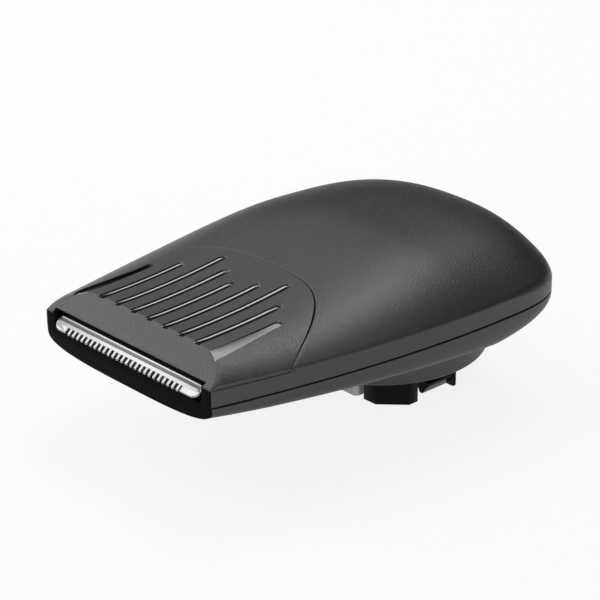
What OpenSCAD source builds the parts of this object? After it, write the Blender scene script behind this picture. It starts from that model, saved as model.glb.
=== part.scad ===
// Hair clipper head: a pebble-shaped housing with a toothed blade at the front and a round
// coupling below that clicks onto a powered handle. The handle's shaft turns the drive spindle,
// whose crank pin rocks a lever, and the lever slides the cutter from side to side.
// Origin: coupling axis at the collar's seating face. +Y points to the rear, +Z up.

/* [Body] */
// Width at the widest station
body_w = 68.8; // [66:0.1:72]
// Width of the front lip
lip_w = 50; // [49:0.1:52]
// Distance from the front lip back to the coupling axis
axis_y = 66.9; // [65.5:0.1:68.5]
// Width of the bowl's rim behind the collar
rear_rim = 2.5; // [2.3:0.1:4]
// Height of the upright band above the seam
band_h = 4; // [3.8:0.1:4.6]
// Rise of the crown above the band at its highest
crown_h = 9.4; // [8.8:0.1:11]
// Rise of the crown above the band at the top of the ramp
brow_h = 3.95; // [3.6:0.05:4.4]
// Depth of the bowl below the seam at the coupling
bowl_h = 9.7; // [9:0.1:10.4]
// Depth of the chin below the seam
chin_h = 4.4; // [4.2:0.1:5]
// Wall thickness of the upper and lower shells
wall = 1.8; // [1.5:0.1:2]
// Width of the open joint along the seam
seam_gap = 0.3; // [0.2:0.05:0.5]

/* [Front cover] */
// Distance from the lip back to the middle of the cover's rear edge
cover_len = 37.4; // [36.5:0.1:40]
// Thickness of the cover
cover_t = 1.5; // [1.2:0.1:1.8]
// Height of the cover's edge where it sits on the side rails
cover_edge = 0.5; // [0.4:0.05:0.7]
// Spacing of the grooves
groove_pitch = 5; // [4.8:0.05:5.1]
// Width of a groove
groove_w = 1.9; // [1.6:0.05:2.2]
// Depth of a groove
groove_depth = 0.8; // [0.5:0.05:0.9]
// Set-back of the lip above the blade
lip_notch = 0.8; // [0.6:0.1:1.1]
// Drop of the ramp's lower edge below the top of the band
lip_drop = 0.25; // [0:0.05:0.35]

/* [Blade] */
// Width of the bezel's pillar beside the comb
pillar_w = 2.9; // [2.6:0.1:3.3]
// Width of the comb's end tab
tab_w = 4.3; // [4:0.1:5]
// Spacing of the teeth
tooth_pitch = 1.35; // [1.2:0.05:1.35]
// Length of the comb teeth
tooth_len = 2.1; // [1.8:0.05:2.3]
// Slope of the ramp and the blade down to the front
blade_tilt = 34; // [32:1:36]
// Distance from the lip forward to the tooth tips
blade_reach = 1.4; // [1.2:0.1:1.6]
// Height of the tooth tips above the seam
tip_z = 1; // [0.9:0.05:1.1]
// Length of the comb's sloping part
comb_len = 3.75; // [3.6:0.05:3.8]
// Thickness of the comb
comb_t = 0.6; // [0.5:0.05:0.65]
// Thickness of the cutter
cutter_t = 0.5; // [0.4:0.05:0.55]
// Travel of the cutter to each side of the middle
stroke = 1.1; // [0.9:0.1:1.2]

/* [Coupling] */
// Drop from the seam to the collar's seating face
seat_drop = 15.2; // [15:0.1:16]
// Radius of the collar
collar_r = 23.6; // [23:0.1:23.8]
// Wall thickness of the collar
collar_wall = 1.8; // [1.5:0.1:2]
// Reach of the lugs below the seating face
lug_drop = 6.8; // [6:0.1:7.5]
// Half width of the lug ring from side to side
lug_x = 17.8; // [17.2:0.1:18]
// Distance from the coupling axis forward to the front of the lug ring
lug_front = 12.6; // [12:0.1:13]
// Distance from the coupling axis back to the rear of the lug ring
lug_rear = 11; // [10.6:0.1:12]
// Wall thickness of the lugs
lug_wall = 2.2; // [1.8:0.1:2.4]
// Width of the locating key
key_w = 15.6; // [14:0.1:16]
// Length of the snap hooks along the body
hook_len = 7; // [6:0.1:7.4]
// Radius of the drive socket's bore
socket_r = 2.2; // [2:0.05:2.4]
// Depth of the drive socket's bore
socket_depth = 6; // [5:0.1:6.5]

/* [Drive] */
// Radius of the drive spindle's shaft
shaft_r = 2; // [1.8:0.05:2.1]
// Radius of the crank pin
crank_pin_r = 1.5; // [1.3:0.05:1.6]
// Distance from the coupling axis forward to the rocker's pivot
rear_arm = 20.5; // [20:0.5:22]
// Radius of the rocker's pivot pin
pivot_r = 1.6; // [1.5:0.05:1.8]
// Thickness of the rocker lever
rocker_t = 2; // [1.8:0.1:2.2]
// Radius of the rocker's round front end
nose_r = 1.25; // [1.1:0.05:1.4]

/* [Hidden] */
$fn = 48;
eps = 0.01;

// Running clearance between pieces that turn or slide on each other
run_fit = 0.05;
// Clearance between pieces that pass each other
free_gap = 0.3;

// Sizes that follow from the coupling and the lip
body_len = axis_y + collar_r + rear_rim;
comb_w = lip_w - 2 * (pillar_w + free_gap);
tooth_count = 2 * floor((comb_w / 2 - tab_w) / tooth_pitch - 0.5) + 1;

// Stations of the body's form, from the lip
crown_y = axis_y - 4;
bowl_y = axis_y + 2;
front_y = 0.9;              // Rear face of the nose bezel's plate, where the shells begin
cover_side_y = 17.4;         // Where the cover's rear edge meets the band
cover_side_x = 28.3;
roof_t = 1.6;               // Thickness of the crown, measured upright
rail_z = band_h - cover_edge;

// Levels of the drive, above the seating face
seam_z = seat_drop;
web_z = 1.5;                // Underside of the coupling plate
plate_t = 2;
hub_z = 9;                  // Top of the coupling plate's hub
deck_z = seam_z - 4;        // Underside of the chassis plate
deck_t = 1.6;
deck_top = deck_z + deck_t;
crank_z = deck_top + 0.1;   // Underside of the crank disc
crank_t = 1.2;
rocker_z = crank_z + crank_t + free_gap;
socket_z = -3.5;            // Mouth of the drive socket
socket_top = 6.4;

// The lever's front end stands in the cutter driver's slot
nose_y = 5;                 // From the lip
front_arm = axis_y - rear_arm - nose_y;
eccentricity = stroke * rear_arm / front_arm;
rocker_swing = asin(stroke / front_arm);

pivot_at = [0, -rear_arm];
nose_at = [0, -rear_arm - front_arm];

// Form of the body -------------------------------------------------------------------------

// Falls from 1 to 0 along a superellipse as t goes from 0 to 1
function roll(t, a, b) = t <= 0 ? 1 : t >= 1 ? 0 : pow(1 - pow(t, a), 1 / b);
function tail(y, y0, a, b) = roll((y - y0) / (body_len - y0), a, b);
function ease(t) = t * t * (3 - 2 * t);
function mix(a, b, t) = a + (b - a) * t;

// Half width of the plan at y
function half_w(y) =
    mix(lip_w, body_w, 1 - pow(1 - min(1, y / axis_y), 1.85)) / 2 * tail(y, axis_y, 3.7, 4.3);

// Rise of the crown above the band and depth of the bowl along the middle
function crown(y) =
    mix(brow_h, crown_h, ease(pow(min(1, y / crown_y), 1.45))) * tail(y, crown_y, 3.5, 3.9);
function bowl(y) = mix(chin_h, bowl_h, min(1, y / bowl_y)) * tail(y, bowl_y, 1.4, 1.4);

// Section of the bowl at y, from one side under the keel to the other: full-sided at the
// coupling and rounder towards the chin. An odd count of sides leaves a flat under the keel.
function fullness(y) = mix(0.62, 0.5, ease(min(1, y / 14)));
function bowl_line(y, w, depth, z, sides = 19) = [for (i = [0:sides]) let (a = 90 - 180 * i / sides)
    [sign(a) * pow(abs(sin(a)), fullness(y)) * w, z - depth * pow(max(0, cos(a)), 0.6)]];

// Height of the crown above the seam at u, the share of the half width
function crown_z(u, y) = band_h + crown(y) * (1 - pow(abs(u), mix(7.5, 2.35, y / body_len)));

// The inside of a wall follows the outside, drawn in by the wall's thickness
function inner_y(y, inset) =
    y <= axis_y ? y : axis_y + (y - axis_y) * (1 - inset / (body_len - axis_y));
function inner_w(y, inset) =
    y <= axis_y ? half_w(y) - inset : half_w(y) * (1 - 2 * inset / body_w);

// Rear edge of the front cover: an arch across the crown, found by settling on u
function arch(x) = cover_len - (cover_len - cover_side_y) * pow(abs(x) / cover_side_x, 3.2);
function cover_end(u, inset = 0, y = 25, step = 8) =
    step == 0 ? y : cover_end(u, inset, mix(y, arch(u * inner_w(y, inset)), 0.7), step - 1);

// Height of the ramp, and its top edge, where it cuts the crown
function ramp(y) = band_h - lip_drop + y * tan(blade_tilt);
function ramp_end(u) = (lip_drop + brow_h * (1 - pow(abs(u), 7.3))) / tan(blade_tilt);

// Shares of the half width for the columns of a skin
spread = [for (k = [-10:10]) sin(9 * k)];

// Stations from the cover's rear edge to the rear of the body
tail_rows = [for (a = [10:10:90]) axis_y + (body_len - axis_y) * pow(sin(a), 2 / 3.7)];
back_rows = concat([45, 52, 59, axis_y], tail_rows);

// Closed solid between two grids of points. Rows run to the rear, keep(j, i) says which cells
// there are, and the last row is a line down the rear, so it needs no edge of its own when sealed.
module skin(outer, inner, sealed = true, keep = function(j, i) true) {
    rows = len(outer);
    cols = len(outer[0]);
    n = rows * cols;
    points = [for (grid = [outer, inner]) for (line = grid) each line];
    has = function(j, i) j >= 0 && i >= 0 && j < rows - 1 && i < cols - 1 && keep(j, i);
    ends = function(j, i) has(j + 1, i) || (sealed && j == rows - 2);
    faces = [for (j = [0:rows - 2]) for (i = [0:cols - 2]) if (has(j, i))
        let (a = j * cols + i, b = a + 1, d = a + cols, c = d + 1)
        each concat(
            halves(a, d, c, b),
            halves(n + a, n + b, n + c, n + d),
            has(j, i - 1) ? [] : halves(d, a, n + a, n + d),
            has(j, i + 1) ? [] : halves(b, c, n + c, n + b),
            has(j - 1, i) ? [] : halves(a, b, n + b, n + a),
            ends(j, i) ? [] : halves(c, d, n + d, n + c))];
    polyhedron(points, [for (f = faces)
        if (points[f[0]] != points[f[1]] && points[f[1]] != points[f[2]]
            && points[f[2]] != points[f[0]]) f]);
}
function halves(a, b, c, d) = [[a, b, c], [a, c, d]];

// Moves what is drawn from the lip and the seam into the frame of the part
module from_lip() {
    translate([0, -axis_y, seam_z]) children();
}

// Moves what is drawn in the plane of the comb's upper face, from the middle tooth tip
module on_blade() {
    translate([0, -blade_reach, tip_z]) rotate([blade_tilt, 0, 0]) children();
}

// Plan of the body, drawn in by inset, from y0 to the rear
module plan(inset, y0) {
    ys = [y0, each [8:8:64], axis_y, each tail_rows];
    side = [for (y = ys) [inner_w(y, inset), inner_y(y, inset)]];
    polygon(concat(side, [for (i = [len(side) - 2:-1:0]) [-side[i][0], side[i][1]]]));
}

// Housing ----------------------------------------------------------------------------------

// Upper shell: the crown behind the cover, the upright band and the side rails under the cover
module top_shell() {
    foot = seam_gap / 2;
    shares = concat([-1], spread, [1]);
    last = len(shares) - 1;
    at = function(i, y, z, inset)
        [shares[i] * inner_w(y, inset), inner_y(y, inset), i == 0 || i == last ? foot : z];
    rail = function(f, inset) [for (i = [0:last])
        at(i, mix(front_y, cover_end(shares[i], inset) - eps, f),
           rail_z - (inset ? roof_t : 0), inset)];
    arc = function(f, inset) [for (i = [0:last])
        let (u = shares[i], y = mix(cover_end(u, inset), back_rows[0], f))
        at(i, y, crown_z(u, y) - (inset ? roof_t : 0), inset)];
    row = function(y, inset) [for (i = [0:last])
        at(i, y, crown_z(shares[i], y) - (inset ? roof_t : 0), inset)];
    grid = function(inset) concat([for (f = [0, 0.5, 1]) rail(f, inset)],
        [for (f = [0, 0.4, 0.7]) arc(f, inset)], [for (y = back_rows) row(y, inset)]);
    color("#2b2c2e") from_lip()
        skin(grid(0), grid(wall), keep = function(j, i) j >= 3 || i <= 2 || i >= last - 3);
}

// Front cover: the ramp above the blade and the panel behind it, whose nine grooves have floors
// that follow the crown and run out onto the ramp. A column is [x, share, groove, sunk]: it stands
// at x, or that share of the way from x to the side edge.
groove_ends = [27.4, 30.4, 33.9, 26.9, 22.8];   // From the middle groove outward
module front_cover() {
    r = groove_w / 2;
    side_x = 4 * groove_pitch + r;
    notch = (comb_w / 2 + 0.2 - side_x) / (lip_w / 2 - 0.1 - side_x);
    side = [for (f = [notch - 0.01, notch + 0.01, 0.55, 0.8, 0.93, 1]) [side_x, f, 4, 0]];
    grooved = [for (k = [-4:4]) let (x = k * groove_pitch)
        each [[x - r, 0, k, 0], [x - r + 0.15, 0, k, 1], [x + r - 0.15, 0, k, 1],
              [x + r, 0, k, 0], if (k < 4) [x + groove_pitch / 2, 0, k + 0.5, 0]]];
    columns = concat([for (i = [5:-1:0]) [-side[i][0], side[i][1], -4, 0]], grooved, side);
    edge = function(y) half_w(y) - 0.1;
    x_at = function(c, y) mix(c[0], sign(c[0]) * edge(y), c[1]);
    share = function(c, y) c[1] == 1 ? 1 : abs(x_at(c, y)) / edge(y);
    top = function(c, y) min(ramp(y), crown_z(share(c, y), y));
    floor_z = function(c, y) min(ramp(y), crown_z(share(c, y), y) - c[3] * groove_depth);
    begin = function(c) abs(x_at(c, 0)) < comb_w / 2 + 0.2 ? lip_notch : 0;
    brow = function(c) ramp_end(share(c, 4)) - c[3] * groove_depth / tan(blade_tilt);
    stop = function(c) let (k = abs(c[2]))
        mix(groove_ends[floor(k)], groove_ends[ceil(k)], 0.5) - (c[3] == 1 ? 0 : 0.4);
    rear = function(c, y = 25, step = 8)
        step == 0 ? y - 0.15 : rear(c, mix(y, arch(x_at(c, y)), 0.7), step - 1);
    place = function(c, y, z) [x_at(c, y), y, z];
    line = function(a, b, f, z) [for (c = columns) let (y = mix(a(c), b(c), f)) place(c, y, z(c, y))];
    halt = function(c) c[1] == 1 ? mix(brow(c), rear(c), 0.6) : min(stop(c), rear(c) - 1);
    rows = function(z) concat(
        [for (f = [0, 0.5]) line(begin, brow, f, z)],
        [for (f = [0, 0.25, 0.5, 0.75, 1]) line(brow, halt, f, z)],
        [for (f = [0.02, 0.5, 1]) line(halt, rear, f, top)]);
    inner = [for (row = rows(top)) [for (p = row) [p[0], p[1], max(p[2] - cover_t, rail_z)]]];
    color("#3a3b3d") from_lip() skin(rows(floor_z), inner, sealed = false);
}

// Lower shell: the bowl, open at the top and round the collar
module lower_shell() {
    rim = -seam_gap / 2;
    rows = concat([front_y, 4, 10, 18, 26, 34, 42, 50, 58, axis_y], tail_rows);
    grid = function(inset) [for (y = rows)
        [for (p = bowl_line(y, inner_w(y, inset), max(0, bowl(y) + rim - inset), rim))
            [p[0], inner_y(y, inset), p[1]]]];
    color("#2b2c2e") from_lip() difference() {
        skin(grid(0), grid(wall));
        translate([0, axis_y, -seam_z]) cylinder(r = collar_r, h = seam_z);
    }
}

// Gasket that fills the joint between the shells, set back from their faces
module joint_strip() {
    set_back = 0.5;
    color("#0c0c0d") from_lip() translate([0, 0, -seam_gap / 2]) linear_extrude(seam_gap)
        difference() {
            plan(set_back, front_y);
            plan(wall, front_y - 1);
        }
}

// Nose bezel: the glossy front face with the pillars and the chin, open for the blade
nose_depth = 3.1;
rail_room = 0.8;            // Kept between its rear part and the side rails
module nose_bezel() {
    face = function(inset) concat([[lip_w / 2 - inset, rail_z]],
        bowl_line(0, lip_w / 2 - inset, chin_h - inset, 0, sides = 27),
        [[inset - lip_w / 2, rail_z]]);
    opening = comb_w + 2 * free_gap;
    color("#08080a") from_lip() difference() {
        union() {
            rotate([90, 0, 0]) translate([0, 0, -front_y]) linear_extrude(front_y)
                polygon(face(0));
            rotate([90, 0, 0]) translate([0, 0, -front_y - nose_depth])
                linear_extrude(nose_depth) polygon(face(wall + rail_room));
        }
        on_blade() translate([-opening / 2, -5, -under_cutter])
            cube([opening, 15, 12]);
        translate([-opening / 2, 1.4, flange_z - under_cutter])
            cube([opening, 10, 10]);
        translate([-drive_window / 2, driver_front - free_gap, channel_z])
            cube([drive_window, 10, 10]);
    }
}

// Blade ------------------------------------------------------------------------------------

// Top of the comb's flat part, behind the bend, and the depth kept clear below the cutter
flange_z = tip_z + comb_len * sin(blade_tilt);
under_cutter = comb_t + run_fit + cutter_t + free_gap;
flange_end = 10;            // Rear edge of the comb
cutter_end = 6.7;           // Rear edge of the cutter
screw_y = 8.6;              // Line of the comb's screws
blade_screw_x = 14;
thread_r = 1;               // Screws of the blade and the carrier
drive_window = 13;          // Width kept free for the driver and the lever
channel_z = -1.3;

// Sheet with teeth at its front, bent flat behind the slope: depth is below the comb's face
module toothed_sheet(half, tip, depth, t, back, tabs = false) {
    root = 0.29 * tooth_pitch;
    point = 0.15 * tooth_pitch;
    bend = comb_len - depth * tan(blade_tilt / 2);
    bend_y = bend * cos(blade_tilt) + depth * sin(blade_tilt) - blade_reach;
    xs = [for (i = [0:tooth_count - 1]) (i - (tooth_count - 1) / 2) * tooth_pitch];
    on_blade() translate([0, 0, -depth - t]) linear_extrude(t) {
        polygon(concat([[-half, bend], [-half, tooth_len]],
            [for (x = xs) each [[x - root, tooth_len], [x - point, tip + 0.25], [x, tip],
                                [x + point, tip + 0.25], [x + root, tooth_len]]],
            [[half, tooth_len], [half, bend]]));
        if (tabs) for (side = [0, 1]) mirror([side, 0]) comb_tab();
    }
    translate([-half, bend_y, flange_z - depth - t]) cube([2 * half, back - bend_y, t]);
}

// Rounded tab that guards each end of the teeth
module comb_tab() {
    inner = comb_w / 2 - tab_w;
    r = 2;
    translate([comb_w / 2 - r, r]) circle(r);
    translate([inner, 0]) square([comb_w / 2 - r - inner, r + 1]);
    translate([comb_w / 2 - r - eps, r]) square([r + eps, 1]);
}

// Comb: the fixed blade
module comb_blade() {
    color("#c9ccce") from_lip() difference() {
        toothed_sheet(comb_w / 2 - 0.9, 0, 0, comb_t, flange_end, tabs = true);
        for (x = [-blade_screw_x, blade_screw_x])
            translate([x, screw_y, 0]) cylinder(r = thread_r, h = 10);
    }
}

// Cutter: the moving blade under the comb
module cutter_blade() {
    color("#b8bbbe") from_lip()
        toothed_sheet(comb_w / 2 - 3.2, 0.4, comb_t + run_fit, cutter_t, cutter_end);
}

// Driver: the slotted block under the cutter that the lever's front end moves
driver_w = 8.4;
driver_front = 2.7;
driver_top = flange_z - comb_t - run_fit - cutter_t;
module cutter_driver() {
    slot = 2 * (nose_r + run_fit);
    color("#d8d4c8") from_lip() difference() {
        translate([-driver_w / 2, driver_front, -0.9])
            cube([driver_w, cutter_end - driver_front, driver_top + 0.9]);
        translate([-slot / 2, nose_y - nose_r - 0.3, -2]) cube([slot, 8, 2 + nose_top]);
    }
}
nose_top = rocker_z + rocker_t - seam_z + 0.2;

// Leaf springs that hold the cutter up against the comb
spring_x = 9;
spring_w = 7;
spring_t = 0.25;
module cutter_spring() {
    tip_y = front_y + nose_depth + 0.15;
    rise = driver_top - carrier_z - 0.1;
    heel_y = cutter_end + 0.4;
    color("#a9adb1") from_lip() for (side = [0, 1]) mirror([side, 0, 0])
        translate([spring_x, 0, carrier_z]) rotate([90, 0, 90]) linear_extrude(spring_w)
            polygon([[heel_y, 0], [heel_y, spring_t], [heel_y - 0.9, spring_t],
                     [tip_y + spring_t, rise], [tip_y, rise - 0.8 * spring_t],
                     [heel_y - 1.3, 0]]);
}

// Carrier: the block behind the bezel that the blade sits on
carrier_z = 1;
carrier_w = 38;
tongue_w = 22;
tongue_end = 24.4;
tongue_top = 0.4;
module carrier_screw_places() {
    edge = 2.2;
    for (x = [edge - tongue_w / 2, tongue_w / 2 - edge])
        translate([x, tongue_end - edge, 0]) children();
}
module blade_carrier() {
    floor_z = deck_top - seam_z;
    front = front_y + nose_depth;
    ledge = cutter_end + 0.5;
    color("#1b1c1e") from_lip() difference() {
        union() {
            translate([-carrier_w / 2, front, floor_z])
                cube([carrier_w, flange_end - front, carrier_z - floor_z]);
            translate([-carrier_w / 2, ledge, floor_z])
                cube([carrier_w, flange_end - ledge, flange_z - comb_t - floor_z]);
            translate([-tongue_w / 2, front, floor_z])
                cube([tongue_w, tongue_end - front, tongue_top - floor_z]);
        }
        translate([-drive_window / 2, 0, channel_z]) cube([drive_window, 40, 10]);
        for (x = [-blade_screw_x, blade_screw_x])
            translate([x, screw_y, flange_z - blade_screw_len]) cylinder(r = thread_r, h = 10);
        carrier_screw_places() translate([0, 0, -5]) cylinder(r = thread_r, h = 10);
    }
}

// Pan-head screw with its head's underside at the origin, pointing down
module screw(head_r, head_h, r, length) {
    difference() {
        union() {
            cylinder(r = head_r, h = head_h);
            translate([0, 0, -length]) cylinder(r = r, h = length + eps);
        }
        for (a = [0, 90]) rotate(a) translate([-head_r * 0.6, -0.25, head_h * 0.5])
            cube([head_r * 1.2, 0.5, head_h]);
    }
}
blade_screw_len = 3.8;
module blade_screws() {
    color("silver") from_lip() for (x = [-blade_screw_x, blade_screw_x])
        translate([x, screw_y, flange_z]) screw(2, 0.9, thread_r, blade_screw_len);
}
module carrier_screws() {
    color("silver") from_lip() carrier_screw_places()
        translate([0, 0, tongue_top]) screw(1.9, 1, thread_r, tongue_top + seam_z - deck_z);
}

// Coupling ---------------------------------------------------------------------------------

// Collar: the round wall round the coupling, with a shoulder for the coupling plate
module coupling_collar() {
    edge = 0.8;
    inside = collar_r - collar_wall;
    shoulder = web_z + plate_t;
    front_top = seam_z - 5.6;
    rise = 3.6;
    color("#26272a") difference() {
        rotate_extrude($fn = 96) polygon(concat(
            [[inside, 0]],
            [for (a = [-90:22.5:0]) [collar_r - edge + edge * cos(a), edge + edge * sin(a)]],
            [[collar_r, seam_z], [inside, seam_z], [inside, shoulder + 1.4],
             [inside - 3, shoulder + 1.4], [inside - 3, shoulder], [inside, shoulder]]));
        translate([0, -collar_r, front_top]) rotate([atan(rise / (2 * collar_r)), 0, 0])
            translate([-30, -5, 0]) cube([60, 60, 10]);
    }
}

// Coupling plate: closes the collar and carries the hub of the drive
hub_r = 7.2;
socket_out_r = 4.6;
bush_out_r = 3.6;
leg_x = 10.5;
leg_y = 6;
leg_thread_r = 1.1;
leg_screw_len = 8;
module leg_places() {
    for (x = [-leg_x, leg_x]) for (y = [-leg_y, leg_y]) translate([x, y, 0]) children();
}
module coupling_plate() {
    color("#1d1e20") difference() {
        union() {
            translate([0, 0, web_z]) cylinder(r = collar_r - collar_wall, h = plate_t);
            translate([0, 0, socket_z]) cylinder(r = hub_r, h = hub_z - socket_z);
        }
        translate([0, 0, socket_z - 1]) cylinder(r = socket_out_r + free_gap, h = bush_foot - socket_z + 1);
        cylinder(r = bush_out_r, h = 20);
        leg_places() cylinder(r = leg_thread_r, h = 10);
    }
}

// Plan of the lug ring: a rectangle with its corners cut off at 45 degrees
lug_cut = 4.9;
module ring_plan(inset) {
    x = lug_x - inset;
    front = inset - lug_front;
    rear = lug_rear - inset;
    c = lug_cut - 0.586 * inset;
    polygon([[x, front + c], [x, rear - c], [x - c, rear], [c - x, rear], [-x, rear - c],
             [-x, front + c], [c - x, front], [x - c, front]]);
}

// Lug ring: a flat base and four corner lugs that steer the head into the handle
hook_y = 1.35;
lug_side = 5.2;             // Where the lugs end along the sides
module lug_ring() {
    base_t = 1.2;
    window = hook_len / 2 + free_gap;
    color("#131416") difference() {
        union() {
            translate([0, 0, web_z - base_t]) linear_extrude(base_t) ring_plan(0);
            translate([0, 0, -lug_drop]) linear_extrude(lug_drop + web_z) difference() {
                ring_plan(0);
                ring_plan(lug_wall);
                square([60, 2 * lug_side], center = true);
                square([key_w + 3.2, 60], center = true);
            }
        }
        translate([0, 0, -1]) cylinder(r = hub_r, h = 10);
        for (side = [0, 1]) mirror([side, 0, 0])
            translate([hook_x - free_gap, hook_y - window, -1]) cube([10, 2 * window, 10]);
        translate([-key_w / 2, -30, -1]) cube([key_w, 30 + key_front + key_depth, 10]);
        leg_places() translate([0, 0, -1]) cylinder(r = leg_thread_r, h = 10);
    }
}

// Snap hook: an arm with a barb that slopes outward from its tip
hook_x = 14.4;
module snap_hook() {
    tip = -lug_drop;
    out = lug_x + 0.1 - hook_x;
    translate([hook_x, hook_y + hook_len / 2, 0]) rotate([90, 0, 0]) linear_extrude(hook_len)
        polygon([[0, web_z], [0, tip + 1.8], [0.8, tip + 0.2], [1.5, tip], [out, tip + 2.5],
                 [out, tip + 3.1], [1.9, tip + 3.4], [1.9, web_z]]);
}
module snap_hook_left() {
    color("#2a2b2d") mirror([1, 0, 0]) snap_hook();
}
module snap_hook_right() {
    color("#2a2b2d") snap_hook();
}

// Locating key: the pale tongue between the front lugs
key_front = -13.2;
key_depth = 3.2;
key_chamfer = 0.8;
module locating_key() {
    half = key_w / 2;
    rear = key_front + key_depth;
    color("#9a9c9f") translate([0, 0, -lug_drop]) linear_extrude(lug_drop + web_z)
        polygon([[-half, rear], [-half, key_front + key_chamfer], [key_chamfer - half, key_front],
                 [half - key_chamfer, key_front], [half, key_front + key_chamfer], [half, rear]]);
}

module plate_screws() {
    color("silver") leg_places() translate([0, 0, web_z - 1.2]) mirror([0, 0, 1])
        screw(2 * leg_thread_r, 1.2, leg_thread_r, leg_screw_len);
}

// Drive ------------------------------------------------------------------------------------

// Chassis: the plate over the coupling that carries the spindle, the lever and the carrier
boss_drop = 1.2;            // Depth of its bosses below the plate
pivot_boss_r = 4;
module chassis() {
    front = tongue_end - 4.5 - axis_y;
    rear = 12;
    leg_r = 2.4;
    color("#55585c") difference() {
        union() {
            translate([0, 0, deck_z]) linear_extrude(deck_t) polygon([
                [-tongue_w / 2, front], [tongue_w / 2, front], [tongue_w / 2, -34], [9, -26],
                [9, -16], [leg_x + leg_r, -10], [leg_x + leg_r, 8], [8, rear], [-8, rear],
                [-leg_x - leg_r, 8], [-leg_x - leg_r, -10], [-9, -16], [-9, -26],
                [-tongue_w / 2, -34]]);
            leg_places() translate([0, 0, web_z + plate_t])
                cylinder(r = leg_r, h = deck_top - web_z - plate_t);
            translate([0, 0, deck_z - boss_drop]) cylinder(r = bush_out_r + 2, h = deck_t + boss_drop);
            translate([pivot_at[0], pivot_at[1], deck_z - boss_drop])
                cylinder(r = pivot_boss_r, h = deck_t + boss_drop);
        }
        translate([0, 0, 5]) cylinder(r = bush_out_r, h = 15);
        translate([pivot_at[0], pivot_at[1], 5]) cylinder(r = pivot_r, h = 15);
        leg_places() translate([0, 0, web_z]) cylinder(r = leg_thread_r, h = 7);
        translate([0, -axis_y, 5]) carrier_screw_places() cylinder(r = thread_r, h = 15);
    }
}

bush_foot = 7;              // Where the lower bush stands
seal_t = 0.5;

// Plain bush between z0 and z1
module bush(inner_r, outer_r, z0, z1) {
    translate([0, 0, z0]) difference() {
        cylinder(r = outer_r, h = z1 - z0);
        translate([0, 0, -1]) cylinder(r = inner_r, h = z1 - z0 + 2);
    }
}
module lower_bush() {
    color("#b08a4a") bush(shaft_r + run_fit, bush_out_r, bush_foot, hub_z);
}
module upper_bush() {
    color("#b08a4a") bush(shaft_r + run_fit, bush_out_r, deck_z - boss_drop, deck_top);
}
module seal_ring() {
    color("#111111") bush(shaft_r + run_fit, socket_out_r + free_gap, bush_foot - seal_t, bush_foot);
}

// Drive spindle: the shaft through both bushes, from the drive socket into the crank disc
spindle_foot = 3;
crank_cap = 0.5;            // Thickness of the disc above the spindle's end
module drive_spindle() {
    color("#c4c7ca") translate([0, 0, spindle_foot])
        cylinder(r = shaft_r, h = crank_z + crank_t - crank_cap - spindle_foot);
}

// Drive socket: takes the handle's shaft in a bore and its cross pin in a slot
module drive_socket() {
    color("#e2ded2") difference() {
        translate([0, 0, socket_z]) cylinder(r = socket_out_r, h = socket_top - socket_z);
        translate([0, 0, socket_z - 1]) cylinder(r = socket_r, h = socket_depth + 1);
        translate([-socket_out_r + 1, -0.6, socket_z - 1])
            cube([2 * socket_out_r - 2, 1.2, 3.5]);
        translate([0, 0, spindle_foot]) cylinder(r = shaft_r, h = 10);
    }
}

// Crank disc with its pin, drawn with the cutter in the middle of its travel
crank_r = 4.5;
module crank_disc() {
    color("#aeb2b6") {
        difference() {
            translate([0, 0, crank_z]) cylinder(r = crank_r, h = crank_t);
            translate([0, 0, crank_z - 1]) cylinder(r = shaft_r, h = crank_t - crank_cap + 1);
        }
        translate([0, eccentricity, crank_z + crank_t])
            cylinder(r = crank_pin_r, h = rocker_z + rocker_t + 0.5 - crank_z - crank_t);
    }
}

// Counterweight opposite the crank pin
weight_r = 8.4;
module counterweight() {
    color("#b3924f") difference() {
        bush(crank_r, weight_r, crank_z, crank_z + crank_t);
        translate([-10, -1.5, crank_z - 1]) cube([20, 20, crank_t + 2]);
    }
}

// Pivot of the lever
boss_z = deck_top + 0.4 + run_fit;
boss_top = rocker_z + rocker_t + 0.6;
module at_pivot() {
    translate([pivot_at[0], pivot_at[1], 0]) children();
}
module pivot_pin() {
    color("#c4c7ca") at_pivot() translate([0, 0, deck_z - boss_drop])
        cylinder(r = pivot_r, h = boss_top + 1 - deck_z + boss_drop);
}
module pivot_washer() {
    color("#9c9fa3") at_pivot() bush(pivot_r, pivot_boss_r - 0.2, deck_top, deck_top + 0.4);
}
module pivot_clip() {
    color("#8d9094") at_pivot() bush(pivot_r, 3.2, boss_top + run_fit, boss_top + 0.55);
}

// Rocker lever: a fork round the crank pin, a boss at the pivot and a round nose at the front
rocker_bush_r = 2.8;
module rocker_lever() {
    fork = crank_pin_r + 2 * eccentricity + 2 * run_fit;
    prong = 2;
    boss_r = 4.8;
    depth = crank_pin_r + eccentricity + 1;
    neck = nose_r - 0.35;
    neck_len = 3;
    color("#e6e2d6") difference() {
        union() {
            translate([0, 0, rocker_z]) linear_extrude(rocker_t) {
                translate(nose_at) circle(nose_r);
                polygon([[-neck, nose_at[1]], [neck, nose_at[1]], [neck, nose_at[1] + neck_len],
                         [2.4, -rear_arm - 12],
                         [boss_r, -rear_arm], [fork + prong, -depth - 2], [fork + prong, 2.5],
                         [-fork - prong, 2.5], [-fork - prong, -depth - 2],
                         [-boss_r, -rear_arm], [-2.4, -rear_arm - 12],
                         [-neck, nose_at[1] + neck_len]]);
            }
            at_pivot() translate([0, 0, boss_z]) cylinder(r = boss_r, h = boss_top - boss_z);
        }
        at_pivot() cylinder(r = rocker_bush_r, h = 30);
        translate([-fork, -depth, 0]) cube([2 * fork, 20, 30]);
    }
}
module rocker_bush() {
    color("#b08a4a") at_pivot() bush(pivot_r + run_fit, rocker_bush_r, boss_z, boss_top);
}

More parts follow.
